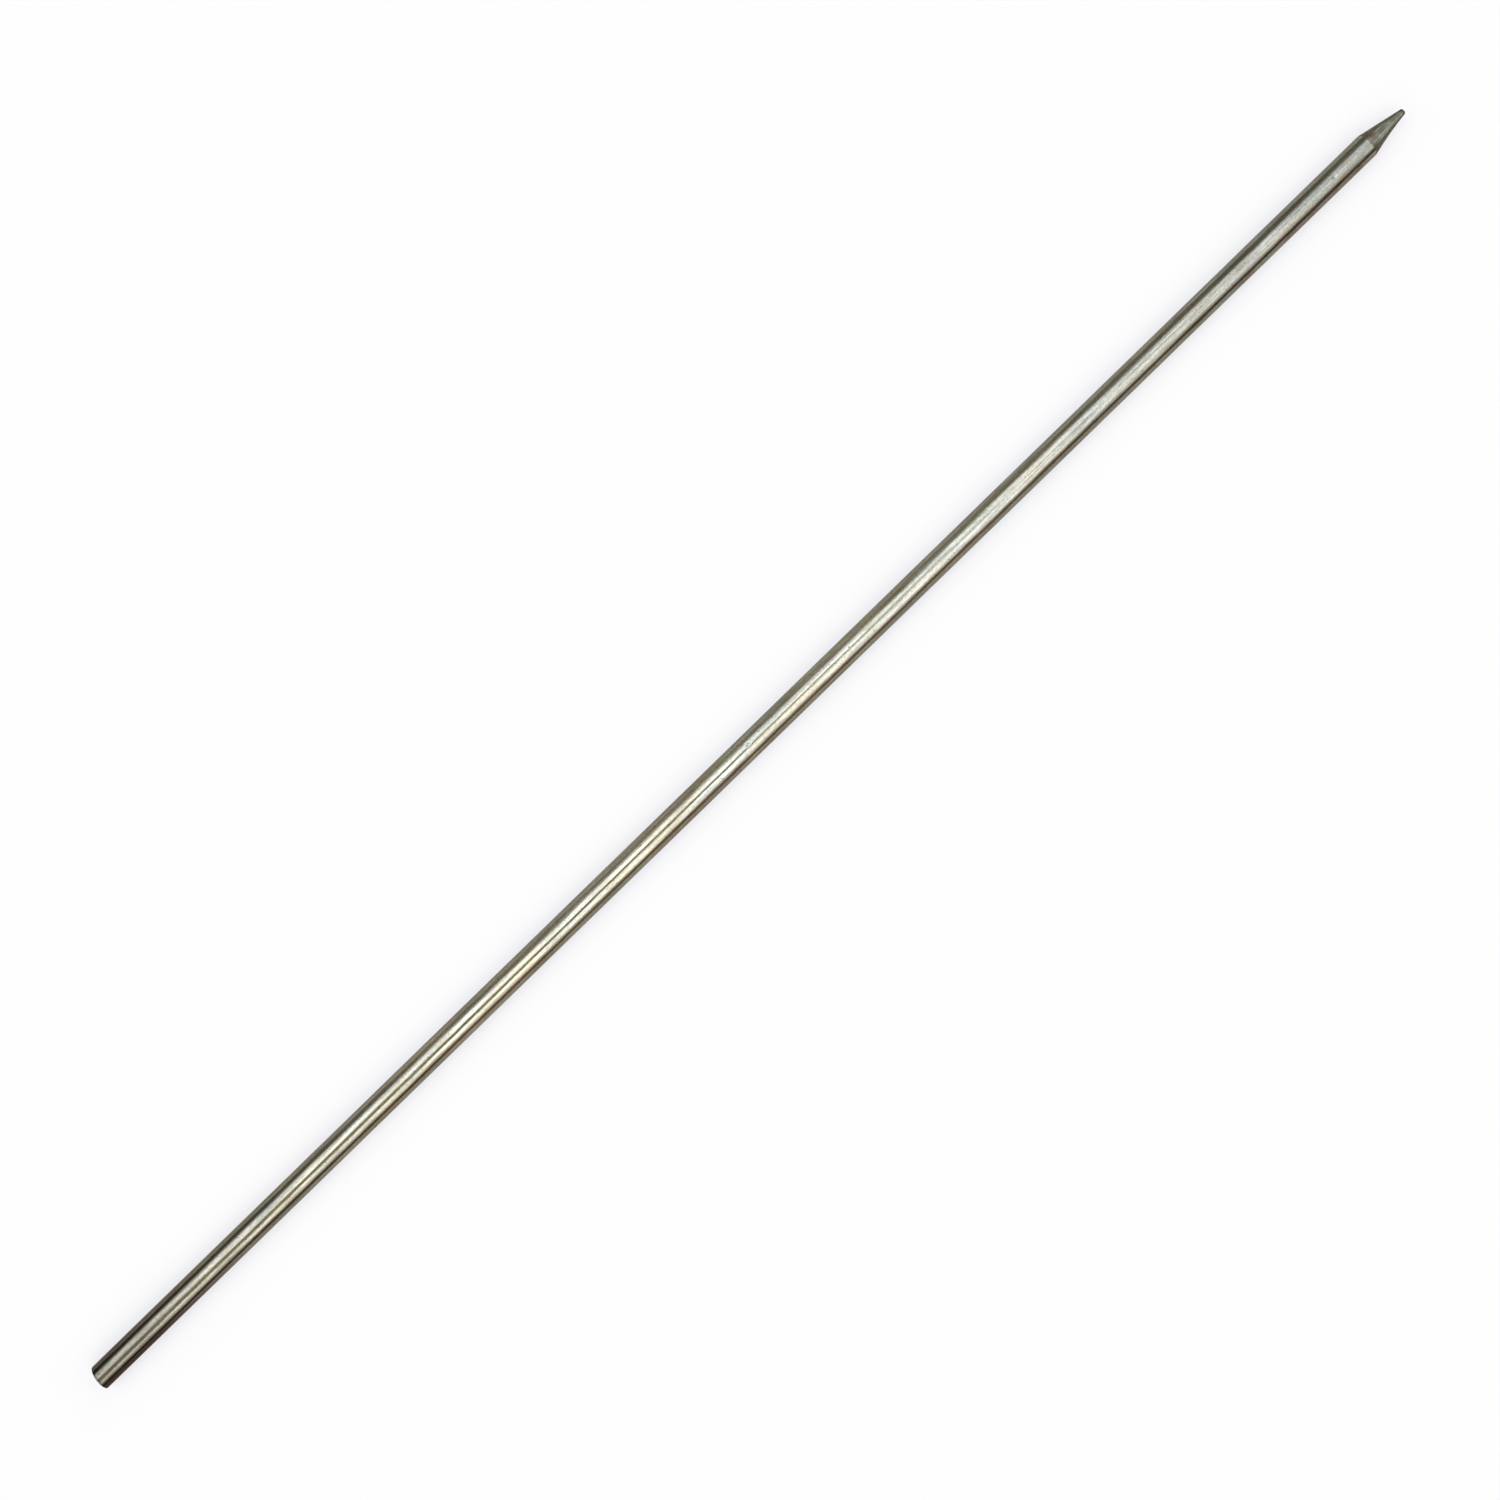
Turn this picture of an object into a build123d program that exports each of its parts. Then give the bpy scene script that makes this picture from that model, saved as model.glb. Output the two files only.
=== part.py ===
from build123d import *
from math import cos, radians, sin
import os

# A straight round steel rod. One end is ground to a short blunt point, and the other is cut off
# a few degrees out of square. The rod is one piece of metal, with nothing fitted to it.
#
# Frame: the origin is where the rod's axis meets the butt face, +X runs along the axis to the
# point, and +Z is up. All sizes are in millimetres and degrees.

# The bar
rod_diameter = 3.0  # drawn and polished round bar
rod_length = 210.0  # along the axis, from the butt face to the end of the nose

# The ground point
point_length = 5.8  # from the shoulder to the end of the nose
nose_diameter = 0.72  # of the blunt end, before its edge is rounded
nose_edge_radius = 0.2
wheel_radius = 75.0  # of the grinding wheel, which leaves the side of the point slightly hollow

# The cut butt
cut_angle = 7.0  # how far the cut is out of square: the -Y side of the rod is the longer one
butt_edge_break = 0.06  # the sharp edge of the cut, broken by a light chamfer

rod_radius = rod_diameter / 2
nose_radius = nose_diameter / 2
shoulder_x = rod_length - point_length
stock_end_x = -rod_diameter  # the bar runs past the butt by this much until it is cut off

os.makedirs("parts", exist_ok=True)

with BuildPart() as rod:
    # Half of the outline of the pointed bar, from the axis outwards, is turned into a solid.
    with BuildSketch(Plane.XZ) as half_outline:
        with BuildLine():
            Polyline((shoulder_x, rod_radius), (stock_end_x, rod_radius), (stock_end_x, 0))
            Polyline((stock_end_x, 0), (rod_length, 0), (rod_length, nose_radius))
            RadiusArc((rod_length, nose_radius), (shoulder_x, rod_radius), wheel_radius)
        make_face()
    revolve(axis=Axis.X)

    # The nose is left blunt, and rubbing has rounded its edge.
    fillet(rod.faces().sort_by(Axis.X)[-1].edges(), radius=nose_edge_radius)

    # The cut takes off everything behind a plane through the origin, tilted about Z.
    cut_plane = Plane(origin=(0, 0, 0), z_dir=(cos(radians(cut_angle)), -sin(radians(cut_angle)), 0))
    split(bisect_by=cut_plane, keep=Keep.TOP)
    chamfer(rod.faces().sort_by(Axis.X)[0].edges(), length=butt_edge_break)

rod.part.label = "rod"
export_step(rod.part, "parts/rod.step")
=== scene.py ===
# %% [markdown]
# # A pointed steel rod
#
# The object is one straight round bar of steel. One end is ground to a short blunt point, and the other
# is cut off a little out of square. Nothing is fitted to it and nothing moves, so all of its looks come
# from how each stretch of the bar was worked: the shank was drawn and polished lengthwise, the point
# was ground on a wheel by hand, and the butt was sawn off.
#
# The CAD model comes first.

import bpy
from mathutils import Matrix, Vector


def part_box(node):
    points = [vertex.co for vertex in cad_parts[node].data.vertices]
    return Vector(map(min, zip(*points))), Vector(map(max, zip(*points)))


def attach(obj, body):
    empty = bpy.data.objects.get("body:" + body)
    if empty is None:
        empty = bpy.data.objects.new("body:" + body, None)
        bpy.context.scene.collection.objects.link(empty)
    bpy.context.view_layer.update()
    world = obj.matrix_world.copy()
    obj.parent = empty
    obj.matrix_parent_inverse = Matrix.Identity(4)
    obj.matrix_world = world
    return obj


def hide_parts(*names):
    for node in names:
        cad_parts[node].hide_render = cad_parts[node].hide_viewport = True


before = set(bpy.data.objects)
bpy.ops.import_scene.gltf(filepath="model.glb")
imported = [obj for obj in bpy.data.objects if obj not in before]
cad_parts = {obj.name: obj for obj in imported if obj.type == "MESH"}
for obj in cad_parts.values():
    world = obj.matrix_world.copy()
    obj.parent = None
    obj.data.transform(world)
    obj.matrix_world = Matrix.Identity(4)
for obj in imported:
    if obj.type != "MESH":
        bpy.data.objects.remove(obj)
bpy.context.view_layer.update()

# %% [markdown]
# ## Sizes
#
# Blender works in metres, but a thin rod is easier to think about in millimetres. The outline below is
# worked out in millimetres, and only the finished points are turned into metres. The diameter and the
# length are read from the frame, so a new CAD model brings its own sizes with it.

# %% Sizes from the frame
import random
from math import asin, cos, exp, pi, radians, sin, tan

import bmesh
import bpy

MM = 0.001  # one millimetre, in metres

low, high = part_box("rod")
rod_radius = (high[2] - low[2]) / 2 / MM
rod_end = high[0] / MM
sides = 144  # points in each ring round the rod
angles = [2 * pi * number / sides for number in range(sides)]  # from the top, turning towards +Y
print(f"Rod: {2 * rod_radius:.2f} mm thick, {rod_end:.1f} mm long, rings of {sides} points")

# %% [markdown]
# ## The ground point
#
# The real point was made on a grinding wheel. The wheel's round face leaves the side of the cone
# slightly hollow, and the rod was turned by hand, a little at a time, so the point is not a true cone:
# it is a ring of narrow flats of uneven depth. A cone from the Add menu would look machined. Here the
# cone is a formula, and each flat is a plane that cuts a little off it. Where a flat is deeper, it also
# reaches further up the shank, so the shoulder becomes an uneven ring without any more work.

# %% The flats
point_length = 5.8
nose_radius = 0.36
hollow = 0.06  # how far the side of the point dips below a straight line
flat_count = 15
hand = random.Random(11)  # a fixed seed, so the flats and knocks are the same on every run

flats = []  # each is its turn round the rod, its depth at the nose and its depth at the shoulder
for number in range(flat_count):
    turn = 2 * pi * (number + hand.uniform(-0.3, 0.3)) / flat_count
    flats.append((turn, hand.uniform(0.0, 0.025), hand.uniform(-0.02, 0.025)))


def ground_radius(x, angle):
    """How far the ground surface is from the rod's axis, in mm."""
    share = (rod_end - x) / point_length  # 0 at the nose, 1 at the shoulder
    cone = nose_radius + (rod_radius - nose_radius) * share - 4 * hollow * share * (1 - share)
    radius = cone
    for turn, nose_depth, shoulder_depth in flats:
        facing = cos(angle - turn)
        if facing > 0.8:  # a flat further round than this can't cut here
            depth = nose_depth + (shoulder_depth - nose_depth) * share
            radius = min(radius, (cone - depth) / facing)
    return radius


print(f"Point: {point_length} mm long, with {flat_count} flats")

# %% [markdown]
# The shoulder is where the ground surface has grown as wide as the shank. It can't be solved for in one
# line, as the flats make it uneven, so the code starts with a stretch that must hold it and halves that
# stretch over and over.

# %% The shoulder
halvings = 24


def shoulder_x(angle):
    """Where the ground surface meets the round shank, in mm along the rod."""
    inside = rod_end - 0.8 * point_length
    outside = rod_end - 1.3 * point_length
    for halving in range(halvings):
        middle = (inside + outside) / 2
        if ground_radius(middle, angle) > rod_radius:
            outside = middle
        else:
            inside = middle
    return inside


shoulder = [shoulder_x(angle) for angle in angles]
print(f"Shoulder: between {min(shoulder):.2f} and {max(shoulder):.2f} mm")

# %% [markdown]
# ## Knocks on the shank
#
# A polished rod that has been used has a few small knocks. Each one is a shallow dent with soft sides.
# A bump map could fake them, but a real dent bends the long reflection that runs down the rod, and that
# is what the eye catches. The dents are real geometry, and the mesh is finer just round each of them.

# %% Knocks
# Each knock is its place along the rod in mm, its turn from the top and its depth in mm.
knocks = [(104.7, 0.15, 0.075), (158.6, -0.04, 0.022), (198.5, 0.03, 0.024)]
cluster_x = 144.5  # here the rod was knocked several times
for number in range(5):
    centre = cluster_x + hand.uniform(-2.2, 2.2)
    knocks.append((centre, hand.uniform(-0.35, 0.35), hand.uniform(0.006, 0.014)))
for number in range(9):
    knocks.append((hand.uniform(12, 196), hand.uniform(0.6, 5.7), hand.uniform(0.010, 0.022)))
knock_length = 0.26  # along the rod, to where a dent has faded to a third
knock_width = 0.20  # round the rod, the same
knock_reach = 2.5  # at this many lengths a dent is gone


def knock_depth(x, angle):
    """How far the knocks sink the surface, in mm."""
    depth = 0.0
    for centre, turn, deepest in knocks:
        lengths = (x - centre) / knock_length
        if abs(lengths) < knock_reach and cos(angle - turn) > 0:
            widths = rod_radius * asin(sin(angle - turn)) / knock_width
            depth += deepest * exp(-lengths * lengths - widths * widths)
    return depth


deepest_knock = max(deepest for centre, turn, deepest in knocks)
print(f"Knocks: {len(knocks)} dents, the deepest {deepest_knock:.3f} mm")

# %% [markdown]
# ## The cut butt
#
# The butt was sawn off a few degrees out of square, so one side of the rod is a little longer. The saw
# left shallow grooves across the face, and the sharp edge was rubbed round. A flat disc would do from
# far away, but from the end the grooves are what says "sawn steel". The face is a set of rings on the
# tilted plane, and a sine wave sinks the grooves into it. A second, slower wave makes them wander, as a
# saw in the hand does.

# %% The cut face
cut_degrees = 7
cut_slope = tan(radians(cut_degrees))
edge_round = 0.06
groove_pitch = 0.42
groove_depth = 0.012
groove_slant = 0.15  # mm down the face for each mm across it
wander_size = 0.8  # how far the grooves wander, and how fast, both in radians of a wave
wander_rate = 3.0


def cut_x(y, z):
    """The sawn face's place along the rod, in mm."""
    wander = wander_size * sin(wander_rate * y)
    wave = sin(2 * pi * (z + groove_slant * y) / groove_pitch + wander)
    return y * cut_slope + groove_depth * (wave + 1) / 2


print(f"Butt: cut {cut_degrees} degrees off, {2 * rod_radius * cut_slope:.2f} mm from side to side")

# %% [markdown]
# ## One skin from butt to nose
#
# The whole rod is one piece of metal, so it is one closed mesh: ring after ring of points, from the
# middle of the butt to the middle of the nose, with quads between them. Building rings in code gives
# every stretch just the density that it needs: sparse along the plain shank, dense at the knocks and on
# the point. Each band of quads remembers which finish it has.

# %% Rings of the butt
shank_finish, point_finish, butt_finish = range(3)
rings = []  # each is a list of points, with the finish of the band that follows it


def ring_point(x, radius, angle, lean=0.0):
    """One point of a ring, in mm. The lean moves the ring towards +Y."""
    return (x, radius * sin(angle) + lean, radius * cos(angle))


face_rings = 22
for number in range(1, face_rings + 1):
    radius = (rod_radius - edge_round) * number / face_rings
    outline = [ring_point(0, radius, angle) for angle in angles]
    rings.append(([(cut_x(y, z), y, z) for x, y, z in outline], butt_finish))

edge_rings = 5
for number in range(1, edge_rings + 1):
    roll = pi / 2 * number / edge_rings
    radius = rod_radius - edge_round + edge_round * sin(roll)
    setback = edge_round * (1 - cos(roll))
    outline = [ring_point(0, radius, angle) for angle in angles]
    finish = butt_finish if number < edge_rings else shank_finish
    rings.append(([(y * cut_slope + setback, y, z) for x, y, z in outline], finish))

print(f"Rings on the butt: {len(rings)}")

# %% [markdown]
# The first rings of the shank stand as askew as the cut, and they straighten up over a few millimetres.
# That keeps the quads even where the tilted face meets the straight rod.

# %% Rings of the shank
plain_step = 1.25  # between rings where nothing happens
plain_end = rod_end - 8.0
knock_step = 0.09  # between rings at a knock
knock_rings = 8  # to each side of a knock
first_place = 0.35
straight_end = 8.0  # by here the rings stand square to the axis

places = {round(number * plain_step, 3) for number in range(1, int(plain_end / plain_step))}
for centre, turn, deepest in knocks:
    for number in range(-knock_rings, knock_rings + 1):
        places.add(round(centre + knock_step * number, 3))
places.add(first_place)
for place in sorted(places):
    tilt = max(0.0, 1 - place / straight_end) * cut_slope
    ring = []
    for angle in angles:
        x = place + tilt * rod_radius * sin(angle)
        ring.append(ring_point(x, rod_radius - knock_depth(x, angle), angle))
    rings.append((ring, shank_finish))

print(f"Rings on the shank: {len(places)}")

# %% [markdown]
# A point that was ground by hand isn't quite central either. Its nose is a little to one side of the
# axis, and its middle bulges a little to the other.

# %% Rings of the point
shoulder_number = len(rings)  # the ring that stands on the shoulder
point_rings = 46
nose_rings = 9
nose_lean = -0.05  # the nose is a little to the -Y side
belly = 0.05  # and the middle of the point to the +Y side
nose_round = 0.2

for number in range(point_rings + 1):
    share = number / point_rings
    lean = nose_lean * share + belly * sin(pi * share)
    ring = []
    for angle, start in zip(angles, shoulder):
        x = start + (rod_end - nose_round - start) * share
        ring.append(ring_point(x, min(rod_radius, ground_radius(x, angle)), angle, lean))
    rings.append((ring, point_finish))

for number in range(1, nose_rings + 1):
    roll = pi / 2 * number / nose_rings
    x = rod_end - nose_round + nose_round * sin(roll)
    ring = []
    for angle in angles:
        radius = ground_radius(rod_end - nose_round, angle) - nose_round * (1 - cos(roll))
        ring.append(ring_point(x, radius, angle, nose_lean))
    rings.append((ring, point_finish))

print(f"Rings in all: {len(rings)}")

# %% [markdown]
# The rings become one mesh. A fan of triangles closes each end. The shoulder is a real corner in the
# metal, so its edges are marked sharp, and the reflection breaks there.

# %% Skin
shape = bmesh.new()
skin = [[shape.verts.new([value * MM for value in point]) for point in ring] for ring, finish in rings]
for number in range(len(skin) - 1):
    near, far = skin[number], skin[number + 1]
    for side in range(sides):
        beside = (side + 1) % sides
        face = shape.faces.new((near[side], far[side], far[beside], near[beside]))
        face.material_index = rings[number][1]
        face.smooth = True

butt_centre = shape.verts.new((cut_x(0, 0) * MM, 0, 0))
nose_centre = shape.verts.new((rod_end * MM, nose_lean * MM, 0))
for side in range(sides):
    beside = (side + 1) % sides
    face = shape.faces.new((butt_centre, skin[0][side], skin[0][beside]))
    face.material_index = butt_finish
    face = shape.faces.new((nose_centre, skin[-1][beside], skin[-1][side]))
    face.material_index = point_finish
    face.smooth = True

for side in range(sides):
    corner_points = (skin[shoulder_number][side], skin[shoulder_number][(side + 1) % sides])
    shape.edges.get(corner_points).smooth = False

shape.normal_update()
rod_mesh = bpy.data.meshes.new("pointed_rod")
shape.to_mesh(rod_mesh)
shape.free()
rod = bpy.data.objects.new("pointed_rod", rod_mesh)
bpy.context.collection.objects.link(rod)
print(f"Skin: {len(rod_mesh.polygons)} faces")

# %% [markdown]
# ## Helpers for the finishes
#
# A colour is easiest to pick as a hex value, the way a paint program shows it, but Blender's shaders
# add up light and need linear numbers. One function does the change. Another adds a node, sets it up
# and links it, so that a material reads as a list of what is in it. A third gives the rod a new, empty
# finish.

# %% Colours and nodes
SHARE, FIRST, SECOND, MIXED = 0, 6, 7, 2  # a Mix node's sockets for colours; the rest are for other kinds


def colour(hex_value, strength=1.0):
    """Turns an sRGB hex value into linear red, green, blue and alpha. A light can be stronger than 1."""
    shares = [int(hex_value[start:start + 2], 16) / 255 for start in (1, 3, 5)]
    linear = [share / 12.92 if share <= 0.04045 else ((share + 0.055) / 1.055) ** 2.4 for share in shares]
    return (*[strength * share for share in linear], 1.0)


def add(tree, kind, settings, inputs):
    """Adds a node. An input's value is a number, a colour or the output socket of another node."""
    node = tree.nodes.new(kind)
    for name, value in settings.items():
        setattr(node, name, value)
    for name, value in inputs.items():
        if isinstance(value, bpy.types.NodeSocket):
            tree.links.new(value, node.inputs[name])
        else:
            node.inputs[name].default_value = value
    return node


def new_finish(name):
    """A new material with an empty node tree, given to the rod's next material slot."""
    finish = bpy.data.materials.new(name)
    finish.use_nodes = True
    finish.node_tree.nodes.clear()
    rod.data.materials.append(finish)
    return finish.node_tree


print("A mid grey:", [round(value, 3) for value in colour("#808080")])

# %% [markdown]
# Two more helpers draw the patterns. Tools leave marks that are long one way and narrow the other, and
# noise gives the same when it is stretched: its coordinates are squeezed to the mark's width across the
# rod and pulled out to its length along it. A stain, and later a patch of light, has a soft edge on
# each side. Each edge is a ramp from 0 to 1, and all of them multiplied are 1 only inside.

# %% Marks and patches
metre = 1.0 / MM  # millimetres in a metre: noise that is scaled by metre / 5 has marks about 5 mm long


def marks(tree, size, detail, roughness=0.5, shift=(0.0, 0.0, 0.0)):
    """Noise with marks of this size, in mm along X, Y and Z."""
    place = add(tree, "ShaderNodeTexCoord", {}, {})
    stretched = add(tree, "ShaderNodeMapping", {}, {
        "Vector": place.outputs["Object"], "Location": shift, "Scale": [metre / length for length in size],
    })
    noise = add(tree, "ShaderNodeTexNoise", {}, {
        "Vector": stretched.outputs[0], "Scale": 1.0, "Detail": detail, "Roughness": roughness,
    })
    return noise.outputs[0]


def soft_patch(tree, limits):
    """1 inside a patch and 0 outside. Each limit is a value, where the patch ends and where it is full."""
    patch = 1.0
    for value, end, full in limits:
        edge = add(tree, "ShaderNodeMapRange", {"interpolation_type": "SMOOTHSTEP"}, {
            "Value": value, "From Min": end, "From Max": full,
        })
        smaller = add(tree, "ShaderNodeMath", {"operation": "MULTIPLY"}, {0: patch, 1: edge.outputs[0]})
        patch = smaller.outputs[0]
    return patch


print(f"A mark 5 mm long needs a noise scale of {metre / 5:.0f}")

# %% [markdown]
# ## The shank: drawn steel, polished lengthwise
#
# Bright bar is pulled through a die and then polished along its length. That leaves fine lines which
# all run one way. They blur the reflection a little sideways and leave it crisp lengthwise, so the eye
# sees long clean bands of light. Four sets of marks do it, from the finest polishing line to the slow
# waves of the pull.

# %% Marks of drawing and polishing
tree = new_finish("drawn_polished_steel")

line_spacing = 0.16  # real polishing lines are about 0.02 mm apart; this is the finest that shows
polish_lines = marks(tree, (9.0, line_spacing, line_spacing), detail=3.0, roughness=0.6)
die_streaks = marks(tree, (5.0, 0.45, 0.45), detail=3.0)  # wider and fainter than the polishing lines
pull_waves = marks(tree, (2.6, 1.1, 1.1), detail=1.0)  # the pull through the die was not quite steady
grain = marks(tree, (0.44, 0.22, 0.22), detail=2.0)  # specks in the surface, coarsened from about 0.05 mm
print("Marks: lines, streaks, waves and grain")

# %% [markdown]
# Steel is grey, but handling leaves a thin film, so the tint drifts from a warm grey near the butt to a
# cool grey near the point. It doesn't drift evenly: long noise patches move it back and forth.

# %% Tint of the shank
place = add(tree, "ShaderNodeTexCoord", {}, {})
axis = add(tree, "ShaderNodeSeparateXYZ", {}, {"Vector": place.outputs["Object"]})
film_patches = marks(tree, (12.0, 1.6, 1.6), detail=3.0)
along_rod = add(tree, "ShaderNodeMapRange", {}, {
    "Value": axis.outputs["X"], "From Min": 0.0, "From Max": rod_end * MM,
})
drift = add(tree, "ShaderNodeMath", {"operation": "MULTIPLY_ADD"}, {0: film_patches, 1: 3.0, 2: -1.5})
film = add(tree, "ShaderNodeMath", {"operation": "ADD", "use_clamp": True}, {
    0: along_rod.outputs[0], 1: drift.outputs[0],
})
tint = add(tree, "ShaderNodeMix", {"data_type": "RGBA"}, {
    SHARE: film.outputs[0], FIRST: colour("#CAC6BB"), SECOND: colour("#C2C7C5"),
})
print("Tint: warm grey to cool grey")

# %% [markdown]
# The marks make the metal lighter and darker, as each one tips the surface a little. The butt end is
# darker than the rest: a slow fade over 60 mm, and a second one over the last 14 mm. Noise stays
# mostly between 0.35 and 0.65, so that stretch is spread over the whole change of shade.

# %% Shade of the shank
mark_tones = ((polish_lines, 0.76, 1.16), (die_streaks, 0.84, 1.10), (grain, 0.84, 1.16))
tones = []
for noise, darkest, lightest in mark_tones:
    tones.append(add(tree, "ShaderNodeMapRange", {}, {
        "Value": noise, "From Min": 0.35, "From Max": 0.65, "To Min": darkest, "To Max": lightest,
    }))
# These two fades make the colour darker towards the butt end.
for start, end, darkest in ((0, 60, 0.80), (1, 14, 0.78)):
    tones.append(add(tree, "ShaderNodeMapRange", {"interpolation_type": "SMOOTHSTEP"}, {
        "Value": axis.outputs["X"], "From Min": start * MM, "From Max": end * MM,
        "To Min": darkest, "To Max": 1.0,
    }))

shade = 1.0
for tone in tones:
    darker = add(tree, "ShaderNodeMath", {"operation": "MULTIPLY"}, {0: shade, 1: tone.outputs[0]})
    shade = darker.outputs[0]
shaded = add(tree, "ShaderNodeMix", {"data_type": "RGBA", "blend_type": "MULTIPLY"}, {
    SHARE: 1.0, FIRST: tint.outputs[MIXED], SECOND: shade,
})
print(f"Shade: {len(tones)} steps")

# %% [markdown]
# Bare steel doesn't stay clean. Three stains and a painted shade lie over the metal. Each has its own
# colour and covers the metal by a share, from 0 to 1:
#
# - bloom, faint brown patches all over;
# - rust, in small patches along the -Y side behind the point;
# - painted shade, a dark brown on the sides and the underside of the butt end, heavier on the -Y side,
#   in place of the dark room that these sides mirror;
# - pits, dark specks where the grain noise is highest.

# %% Stains and painted shade on the shank
bloom_noise = marks(tree, (4.5, 1.3, 1.3), detail=4.0, roughness=0.6, shift=(3.0, 1.0, 0.0))
bloom = add(tree, "ShaderNodeMapRange", {}, {
    "Value": bloom_noise, "From Min": 0.55, "From Max": 0.72, "To Min": 0.0, "To Max": 0.32,
})

rust_noise = marks(tree, (1.7, 0.6, 0.6), detail=4.0, roughness=0.6)
rust_patches = add(tree, "ShaderNodeMapRange", {}, {
    "Value": rust_noise, "From Min": 0.46, "From Max": 0.66, "To Min": 0.0, "To Max": 0.62,
})
rust_line = soft_patch(tree, [
    (axis.outputs["X"], 168 * MM, 192 * MM),
    (axis.outputs["Y"], -0.70 * MM, -1.05 * MM),
])
rust = add(tree, "ShaderNodeMath", {"operation": "MULTIPLY"}, {0: rust_line, 1: rust_patches.outputs[0]})

# Painted shade: the colour of the butt end's sides and underside is darkened, most on the -Y side, in
# place of the dark room that these sides mirror.
painted_shade_sides = soft_patch(tree, [
    (axis.outputs["X"], 26 * MM, 6 * MM),
    (axis.outputs["Z"], 1.18 * MM, 0.92 * MM),
])
painted_shade_weight = add(tree, "ShaderNodeMapRange", {"interpolation_type": "SMOOTHSTEP"}, {
    "Value": axis.outputs["Y"], "From Min": 0.8 * MM, "From Max": -0.8 * MM,
    "To Min": 0.50, "To Max": 0.90,
})
painted_rim_shade = add(tree, "ShaderNodeMath", {"operation": "MULTIPLY"}, {0: painted_shade_sides, 1: painted_shade_weight.outputs[0]})

pits = add(tree, "ShaderNodeMapRange", {}, {
    "Value": grain, "From Min": 0.62, "From Max": 0.72, "To Min": 0.0, "To Max": 0.7,
})

metal = shaded
# Of these four colours, the dark brown #4E2C22 is painted shade and the other three are stains.
for share, stain in ((bloom, "#A58B6E"), (rust, "#8A6238"), (painted_rim_shade, "#4E2C22"), (pits, "#5E4E3A")):
    metal = add(tree, "ShaderNodeMix", {"data_type": "RGBA"}, {
        SHARE: share.outputs[0], FIRST: metal.outputs[MIXED], SECOND: colour(stain),
    })
print("Stains: bloom, rust, grip and pits")

# %% [markdown]
# The streaks also change how sharp the reflection is. Two bumps bend it: the waves of the pull, 0.017
# mm deep, make the long bands of light swim a little, and the grain breaks up their edges.

# %% Drawn steel
gloss = add(tree, "ShaderNodeMapRange", {}, {
    "Value": die_streaks, "From Min": 0.35, "From Max": 0.65, "To Min": 0.18, "To Max": 0.09,
})
wavy = add(tree, "ShaderNodeBump", {}, {"Height": pull_waves, "Strength": 1.0, "Distance": 0.017 * MM})
relief = add(tree, "ShaderNodeBump", {}, {
    "Height": grain, "Strength": 0.5, "Distance": 0.006 * MM, "Normal": wavy.outputs[0],
})
steel = add(tree, "ShaderNodeBsdfPrincipled", {}, {
    "Base Color": metal.outputs[MIXED], "Metallic": 1.0,
    "Roughness": gloss.outputs[0], "Normal": relief.outputs[0],
})
add(tree, "ShaderNodeOutputMaterial", {}, {"Surface": steel.outputs[0]})
print("Finish: drawn_polished_steel")

# %% [markdown]
# ## The point: wheel-ground steel, dulled
#
# A grinding wheel cuts with grains of grit, and each grain ploughs a line from shoulder to nose. The
# ground steel is matt, because the lines scatter the light, and it is darker than the shank, because it
# was not polished afterwards. It holds a little rust, most of it next to the shoulder, and the colour is
# darker at the very nose. The colour comes first.

# %% Colour of the ground steel
tree = new_finish("wheel_ground_steel")

grit_spacing = 0.12  # close to the line spacing of a 120 grit wheel
grit_lines = marks(tree, (2.6, grit_spacing, grit_spacing), detail=4.0, roughness=0.65)
wheel_passes = marks(tree, (5.0, 0.55, 0.55), detail=2.0)
stain_spots = marks(tree, (1.3, 1.3, 1.3), detail=3.0)
place = add(tree, "ShaderNodeTexCoord", {}, {})
axis = add(tree, "ShaderNodeSeparateXYZ", {}, {"Vector": place.outputs["Object"]})

rust_spots = add(tree, "ShaderNodeMapRange", {}, {
    "Value": stain_spots, "From Min": 0.46, "From Max": 0.62, "To Min": 0.0, "To Max": 0.8,
})
near_shoulder = add(tree, "ShaderNodeMapRange", {"interpolation_type": "SMOOTHSTEP"}, {
    "Value": axis.outputs["X"],
    "From Min": (rod_end - point_length) * MM, "From Max": (rod_end - 0.6 * point_length) * MM,
    "To Min": 1.0, "To Max": 0.15,
})
rust = add(tree, "ShaderNodeMath", {"operation": "MULTIPLY"}, {
    0: rust_spots.outputs[0], 1: near_shoulder.outputs[0],
})
rusty = add(tree, "ShaderNodeMix", {"data_type": "RGBA"}, {
    SHARE: rust.outputs[0], FIRST: colour("#A2A398"), SECOND: colour("#8C7966"),
})
# The colour is darker over the last 0.7 mm of the nose.
nose = soft_patch(tree, [(axis.outputs["X"], (rod_end - 0.7) * MM, rod_end * MM)])
nose_darkened = add(tree, "ShaderNodeMix", {"data_type": "RGBA"}, {
    SHARE: nose, FIRST: rusty.outputs[MIXED], SECOND: colour("#5A5850"),
})
print("Ground steel: grey, rusty near the shoulder, dark at the nose")

# %% [markdown]
# Each pass over the wheel left a stripe about half a millimetre wide, and the grit lines run inside the
# stripes. Both change the shade. The grit lines are also a bump, so that single lines catch the light,
# and the steel is rougher where it is stained.

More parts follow.
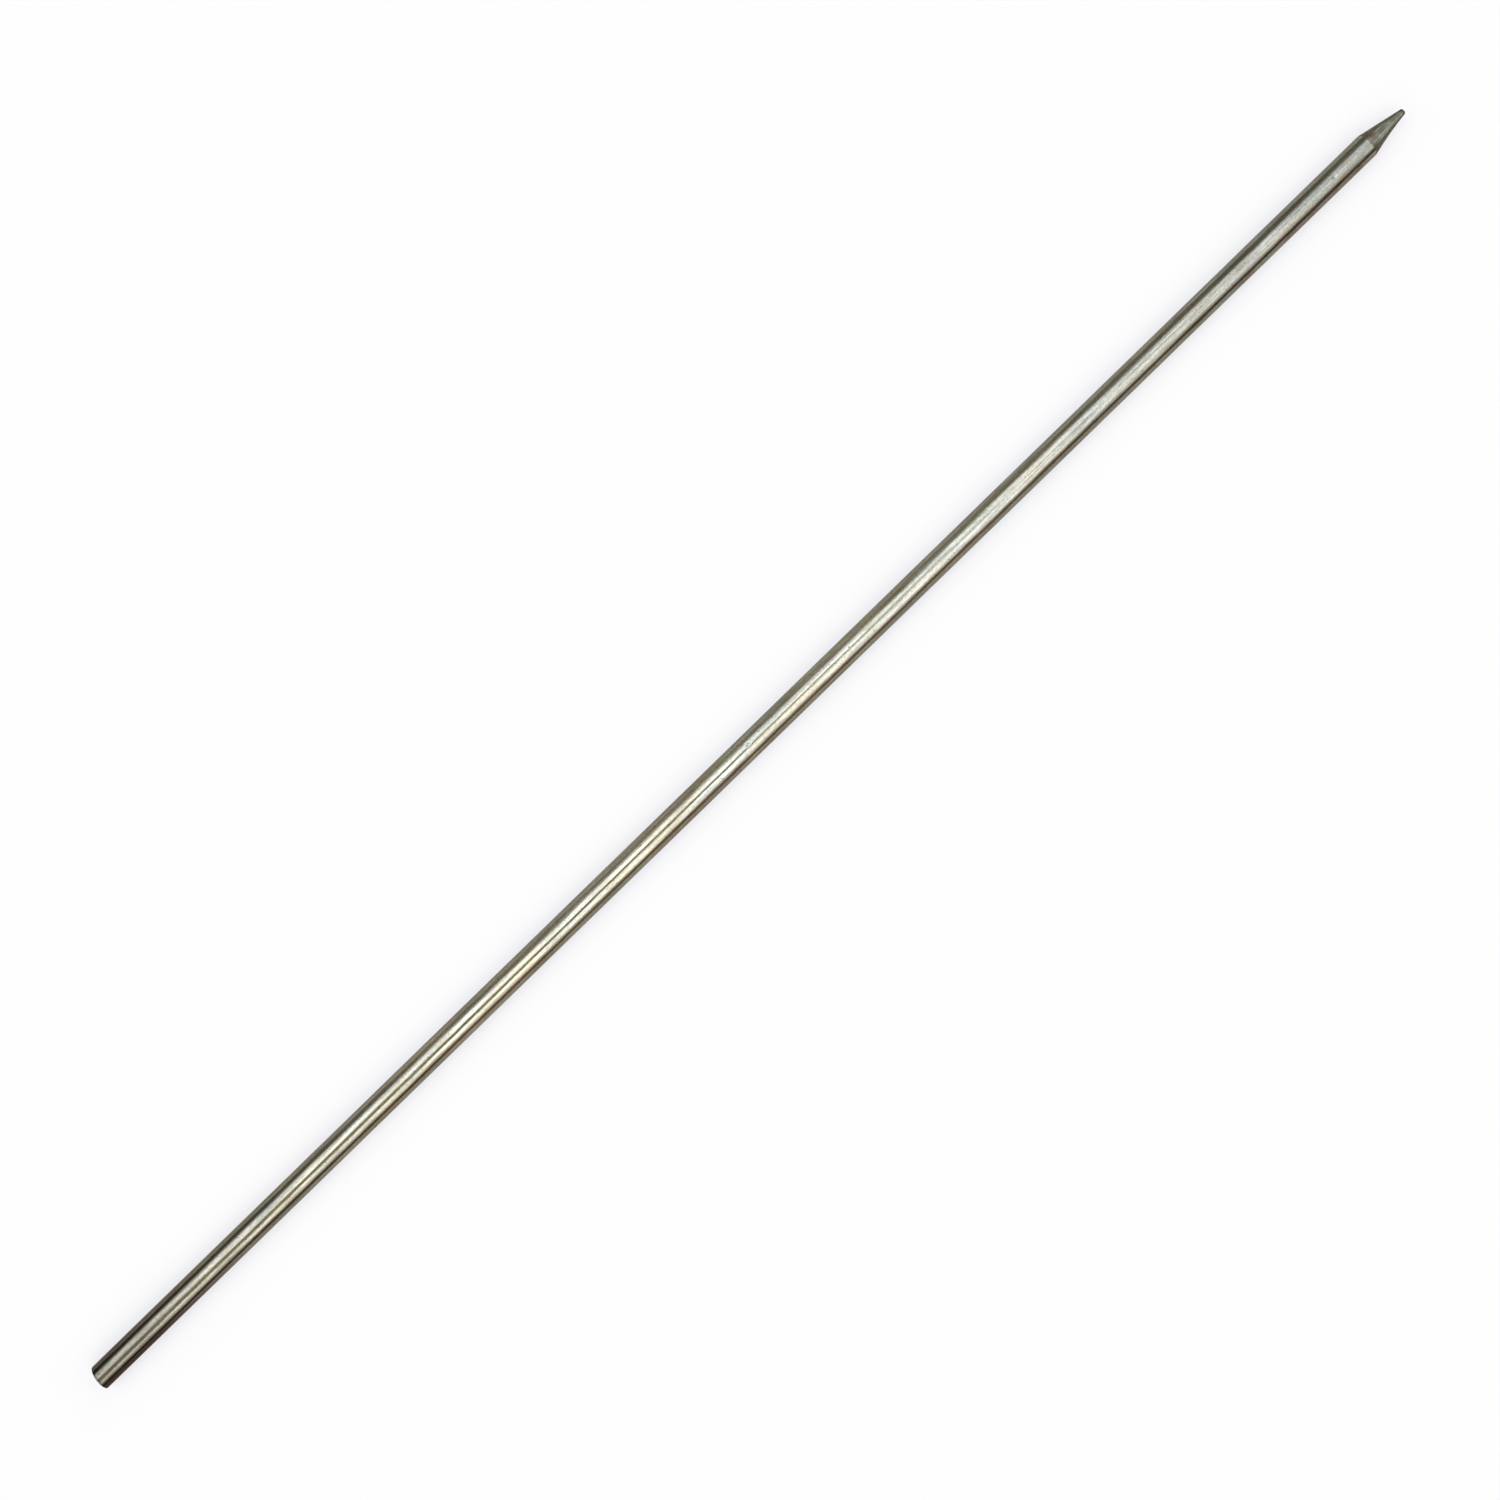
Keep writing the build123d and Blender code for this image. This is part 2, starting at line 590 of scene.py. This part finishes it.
# %% Ground steel
pass_shade = add(tree, "ShaderNodeMapRange", {}, {
    "Value": wheel_passes, "From Min": 0.35, "From Max": 0.65, "To Min": 0.62, "To Max": 1.15,
})
grit_shade = add(tree, "ShaderNodeMapRange", {}, {
    "Value": grit_lines, "From Min": 0.3, "From Max": 0.7, "To Min": 0.55, "To Max": 1.2,
})
shade = add(tree, "ShaderNodeMath", {"operation": "MULTIPLY"}, {
    0: pass_shade.outputs[0], 1: grit_shade.outputs[0],
})
metal = add(tree, "ShaderNodeMix", {"data_type": "RGBA", "blend_type": "MULTIPLY"}, {
    SHARE: 1.0, FIRST: nose_darkened.outputs[MIXED], SECOND: shade.outputs[0],
})
gloss = add(tree, "ShaderNodeMapRange", {}, {
    "Value": stain_spots, "From Min": 0.3, "From Max": 0.7, "To Min": 0.38, "To Max": 0.58,
})
relief = add(tree, "ShaderNodeBump", {}, {"Height": grit_lines, "Strength": 0.8, "Distance": 0.02 * MM})
steel = add(tree, "ShaderNodeBsdfPrincipled", {}, {
    "Base Color": metal.outputs[MIXED], "Metallic": 1.0,
    "Roughness": gloss.outputs[0], "Normal": relief.outputs[0],
})
add(tree, "ShaderNodeOutputMaterial", {}, {"Surface": steel.outputs[0]})
print("Finish: wheel_ground_steel")

# %% [markdown]
# ## The butt: sawn steel
#
# Saw teeth tear the metal, so a sawn face is rougher than a polished one and its lines all run across
# the face. The larger grooves are already in the mesh. This finish adds the finer tooth lines between
# them, with a darker colour in the bottom of each.

# %% Sawn steel
tree = new_finish("sawn_steel")

tooth_lines = marks(tree, (1.8, 1.8, 0.09), detail=3.0, roughness=0.6)
tone = add(tree, "ShaderNodeMapRange", {}, {"Value": tooth_lines, "From Min": 0.35, "From Max": 0.65})
# The bottoms of the tooth lines take the darker of the two colours.
metal = add(tree, "ShaderNodeMix", {"data_type": "RGBA"}, {
    SHARE: tone.outputs[0], FIRST: colour("#7E7B72"), SECOND: colour("#B4B1A8"),
})
gloss = add(tree, "ShaderNodeMapRange", {}, {
    "Value": tooth_lines, "From Min": 0.3, "From Max": 0.7, "To Min": 0.50, "To Max": 0.34,
})
relief = add(tree, "ShaderNodeBump", {}, {"Height": tooth_lines, "Strength": 0.9, "Distance": 0.02 * MM})
steel = add(tree, "ShaderNodeBsdfPrincipled", {}, {
    "Base Color": metal.outputs[MIXED], "Metallic": 1.0,
    "Roughness": gloss.outputs[0], "Normal": relief.outputs[0],
})
add(tree, "ShaderNodeOutputMaterial", {}, {"Surface": steel.outputs[0]})
print("Finish: sawn_steel")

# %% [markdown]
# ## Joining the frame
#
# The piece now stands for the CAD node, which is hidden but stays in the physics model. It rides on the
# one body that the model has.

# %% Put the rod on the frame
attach(rod, "root")
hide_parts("rod")
print("Rod rides on root and replaces the CAD node")

# %% [markdown]
# ## The floor
#
# A plain sheet of matt white paper, flat, and just under the rod. The sides of the rod mirror it, and
# white paper would make them nearly white, so that the rod's outline would be lost against it. So the
# paper is a mid grey in every reflection, and a glow that only the camera sees lifts it to nearly
# white.

# %% Floor
floor_size = 3.0
floor_height = low[2]
half = floor_size / 2
corners = [(-half, -half), (half, -half), (half, half), (-half, half)]
floor_mesh = bpy.data.meshes.new("floor")
floor_mesh.from_pydata([(x, y, floor_height) for x, y in corners], [], [(0, 1, 2, 3)])
floor = bpy.data.objects.new("floor", floor_mesh)
bpy.context.collection.objects.link(floor)

paper = bpy.data.materials.new("matt_white_paper")
paper.use_nodes = True
tree = paper.node_tree
tree.nodes.clear()
rays = add(tree, "ShaderNodeLightPath", {}, {})
glow = add(tree, "ShaderNodeMath", {"operation": "MULTIPLY"}, {0: rays.outputs["Is Camera Ray"], 1: 0.70})
sheet = add(tree, "ShaderNodeBsdfPrincipled", {}, {
    "Base Color": colour("#B3AFA2"), "Roughness": 0.9, "Specular IOR Level": 0.1,
    "Emission Color": colour("#EEF1FF"), "Emission Strength": glow.outputs[0],
})
add(tree, "ShaderNodeOutputMaterial", {}, {"Surface": sheet.outputs[0]})
floor_mesh.materials.append(paper)
print(f"Floor: {floor_size} m square at {floor_height / MM:.2f} mm")

# %% [markdown]
# ## The light
#
# Polished metal has almost no colour of its own: it shows whatever is round it. So the light is built
# as the rod would see it. A wide white cloth hangs overhead, with a narrow gap that runs along the rod,
# and the room beside it is dim. In the rod the cloth becomes two long bright bands, and the gap becomes
# the thin dark line between them. Area lights could do this, but the cloth's soft edges and the gap are
# easier to draw straight into the world, as a pattern of direction.
#
# Two angles give a direction, both in degrees from straight up: how far across the rod, towards +Y, and
# how far along it, towards the point.

# %% Directions
world = bpy.data.worlds.new("light_tent")
bpy.context.scene.world = world
world.use_nodes = True
tree = world.node_tree
tree.nodes.clear()

direction = add(tree, "ShaderNodeTexCoord", {}, {})
parts = add(tree, "ShaderNodeSeparateXYZ", {}, {"Vector": direction.outputs["Generated"]})
across_turn = add(tree, "ShaderNodeMath", {"operation": "ARCTAN2"}, {
    0: parts.outputs["Y"], 1: parts.outputs["Z"],
})
along_turn = add(tree, "ShaderNodeMath", {"operation": "ARCSINE"}, {0: parts.outputs["X"]})
across = add(tree, "ShaderNodeMath", {"operation": "DEGREES"}, {0: across_turn.outputs[0]}).outputs[0]
along = add(tree, "ShaderNodeMath", {"operation": "DEGREES"}, {0: along_turn.outputs[0]}).outputs[0]
print("Directions: across and along the rod, in degrees")

# %% [markdown]
# A cloth that hangs by hand never hangs square. Its +Y edge slants, and so do both edges of the gap,
# which is wider and further to the -Y side over the butt and closes over the point. A slanted edge is a
# straight one on an angle that has a part of the angle along the rod added to it.

# %% The cloth and its gap
slanted = {}
for edge_name, slant in (("cloth +Y", 0.22), ("gap -Y", -1.0), ("gap +Y", -0.26)):
    turned = add(tree, "ShaderNodeMath", {"operation": "MULTIPLY_ADD"}, {0: along, 1: slant, 2: across})
    slanted[edge_name] = turned.outputs[0]

cloth = soft_patch(tree, [
    (across, -76, -30),
    (slanted["cloth +Y"], 60, 22),
    (along, -34, -9),
    (along, 39, -5),
])
gap = soft_patch(tree, [
    (slanted["gap -Y"], -15, -5),
    (slanted["gap +Y"], 12, 2),
    (along, 17, -3),
    (along, -60, -5),
])
to_plus_y = add(tree, "ShaderNodeMapRange", {"interpolation_type": "SMOOTHSTEP"}, {
    "Value": across, "From Min": -60, "From Max": 60,
})
cloth_light = add(tree, "ShaderNodeMix", {"data_type": "RGBA"}, {
    SHARE: to_plus_y.outputs[0], FIRST: colour("#FEFBF1", 2.0), SECOND: colour("#F9FBF7", 2.0),
})
overhead = add(tree, "ShaderNodeMix", {"data_type": "RGBA"}, {
    SHARE: gap, FIRST: cloth_light.outputs[MIXED], SECOND: colour("#8C8756"),
})
print("Cloth: a white sheet overhead, with an olive gap")

# %% [markdown]
# The room is brown on the -Y side and grey on the +Y side. It is darkest beyond the butt and half dark
# beyond the point, so the sides of the rod darken towards its ends.

# %% The room
walls = add(tree, "ShaderNodeMix", {"data_type": "RGBA"}, {
    SHARE: to_plus_y.outputs[0], FIRST: colour("#7A5C3E"), SECOND: colour("#9E9784"),
})
room_light = 1.0
for start, end, start_light, end_light in ((-22, -2, 0.06, 1.0), (2, 16, 1.0, 0.45)):
    fade = add(tree, "ShaderNodeMapRange", {"interpolation_type": "SMOOTHSTEP"}, {
        "Value": along, "From Min": start, "From Max": end, "To Min": start_light, "To Max": end_light,
    })
    faded = add(tree, "ShaderNodeMath", {"operation": "MULTIPLY"}, {0: room_light, 1: fade.outputs[0]})
    room_light = faded.outputs[0]
room = add(tree, "ShaderNodeMix", {"data_type": "RGBA", "blend_type": "MULTIPLY"}, {
    SHARE: 1.0, FIRST: walls.outputs[MIXED], SECOND: room_light,
})
print("Room: brown and grey walls")

# %% [markdown]
# From a low angle, or from the end, the rod mirrors what stands beyond its ends. A bright sheet hangs
# there too, with a dark line down its middle that carries on the line of the gap. It is brightest up
# high and dimmer towards the level of the rod.

# %% Sheets beyond the ends
steep = add(tree, "ShaderNodeMath", {"operation": "ABSOLUTE"}, {0: along}).outputs[0]
end_sheets = soft_patch(tree, [(steep, 25, 37), (across, -85, -50), (across, 85, 50)])
end_line = soft_patch(tree, [(across, -16, -7), (across, 13, 5)])
end_height = add(tree, "ShaderNodeMapRange", {"interpolation_type": "SMOOTHSTEP"}, {
    "Value": steep, "From Min": 50, "From Max": 85, "To Min": 1.35, "To Max": 0.5,
})
end_colour = add(tree, "ShaderNodeMix", {"data_type": "RGBA"}, {
    SHARE: end_line, FIRST: colour("#FFFFFD"), SECOND: colour("#6E6A58"),
})
end_light = add(tree, "ShaderNodeMix", {"data_type": "RGBA", "blend_type": "MULTIPLY"}, {
    SHARE: 1.0, FIRST: end_colour.outputs[MIXED], SECOND: end_height.outputs[0],
})
print("End sheets: one beyond each end of the rod")

# %% [markdown]
# The three are laid over each other: the room, then the cloth, then the end sheets. The camera itself
# sees a plain white backdrop instead of the tent.

# %% World light
room_and_cloth = add(tree, "ShaderNodeMix", {"data_type": "RGBA"}, {
    SHARE: cloth, FIRST: room.outputs[MIXED], SECOND: overhead.outputs[MIXED],
})
all_light = add(tree, "ShaderNodeMix", {"data_type": "RGBA"}, {
    SHARE: end_sheets, FIRST: room_and_cloth.outputs[MIXED], SECOND: end_light.outputs[MIXED],
})
tent = add(tree, "ShaderNodeBackground", {}, {"Color": all_light.outputs[MIXED], "Strength": 1.0})
backdrop = add(tree, "ShaderNodeBackground", {}, {"Color": colour("#FEFEFF"), "Strength": 1.0})
rays = add(tree, "ShaderNodeLightPath", {}, {})
seen = add(tree, "ShaderNodeMixShader", {}, {
    0: rays.outputs["Is Camera Ray"], 1: tent.outputs[0], 2: backdrop.outputs[0],
})
add(tree, "ShaderNodeOutputWorld", {}, {"Surface": seen.outputs[0]})
print("Light: a tent of cloth, room and end sheets")

# %% [markdown]
# ## The camera
#
# The camera looks straight down at the rod, which lies corner to corner across the picture.

# %% Camera
camera_height = 292.4
camera_x = rod_end / 2 - 0.6
camera_y = -0.370
camera_turn = -44.194  # degrees about the vertical

camera_data = bpy.data.cameras.new("camera")
camera_data.lens = 60.74
camera_data.sensor_width = 36.0
camera_data.clip_start = 0.001
camera = bpy.data.objects.new("camera", camera_data)
camera.location = (camera_x * MM, camera_y * MM, camera_height * MM)
camera.rotation_euler = (0, 0, radians(camera_turn))
bpy.context.collection.objects.link(camera)
bpy.context.scene.camera = camera
bpy.context.scene.view_settings.view_transform = "Standard"
print(f"Camera: {camera_height:.0f} mm above the rod")
